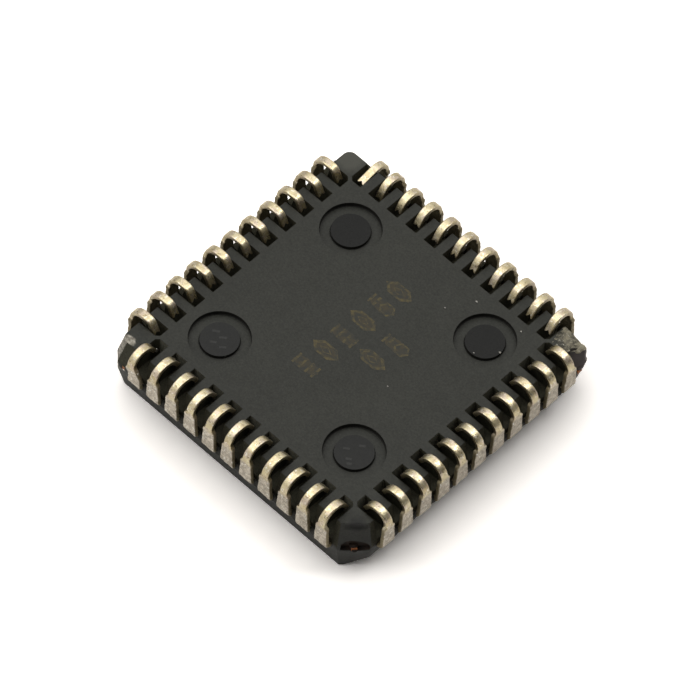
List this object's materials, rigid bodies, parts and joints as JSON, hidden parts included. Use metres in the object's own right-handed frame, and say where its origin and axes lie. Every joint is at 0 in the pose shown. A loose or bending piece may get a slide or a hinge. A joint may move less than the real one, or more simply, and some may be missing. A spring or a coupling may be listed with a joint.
{
  "type": "microcontroller chip",
  "caption": "Square moulded chip package with J-shaped leads hooked under every side, lying on its marked face.",
  "frame": {"origin": "centre of the marked face, at floor height", "axes": "+Z from the marked face out of the underside, +X towards the pin 1 side, +Y along that side away from the chamfered corner"},
  "size_m": [0.0174, 0.0174, 0.0045],
  "materials": {
    "mould_compound": "fine matte moulded epoxy, dark grey",
    "lead_plating": "worn tin-lead plating over copper alloy, satin beige-gold hooks and rougher solder-coated shoulders",
    "copper_alloy": "bare copper alloy, dull at the cut ends",
    "silver_epoxy": "cured silver-filled adhesive",
    "silicon": "polished silicon",
    "gold_wire": "bright gold wire"
  },
  "bodies": {
    "root": {"moulded_body": "mould_compound", "pin_01": "lead_plating", "pin_02": "lead_plating", "pin_03": "lead_plating", "pin_04": "lead_plating", "pin_05": "lead_plating", "pin_06": "lead_plating", "pin_07": "lead_plating", "pin_08": "lead_plating", "pin_09": "lead_plating", "pin_10": "lead_plating", "pin_11": "lead_plating", "pin_12": "lead_plating", "pin_13": "lead_plating", "pin_14": "lead_plating", "pin_15": "lead_plating", "pin_16": "lead_plating", "pin_17": "lead_plating", "pin_18": "lead_plating", "pin_19": "lead_plating", "pin_20": "lead_plating", "pin_21": "lead_plating", "pin_22": "lead_plating", "pin_23": "lead_plating", "pin_24": "lead_plating", "pin_25": "lead_plating", "pin_26": "lead_plating", "pin_27": "lead_plating", "pin_28": "lead_plating", "pin_29": "lead_plating", "pin_30": "lead_plating", "pin_31": "lead_plating", "pin_32": "lead_plating", "pin_33": "lead_plating", "pin_34": "lead_plating", "pin_35": "lead_plating", "pin_36": "lead_plating", "pin_37": "lead_plating", "pin_38": "lead_plating", "pin_39": "lead_plating", "pin_40": "lead_plating", "pin_41": "lead_plating", "pin_42": "lead_plating", "pin_43": "lead_plating", "pin_44": "lead_plating", "die_paddle": "copper_alloy", "die_attach": "silver_epoxy", "silicon_die": "silicon", "bond_wires_front": "gold_wire", "bond_wires_right": "gold_wire", "bond_wires_back": "gold_wire", "bond_wires_left": "gold_wire"}
  },
  "joints": []
}
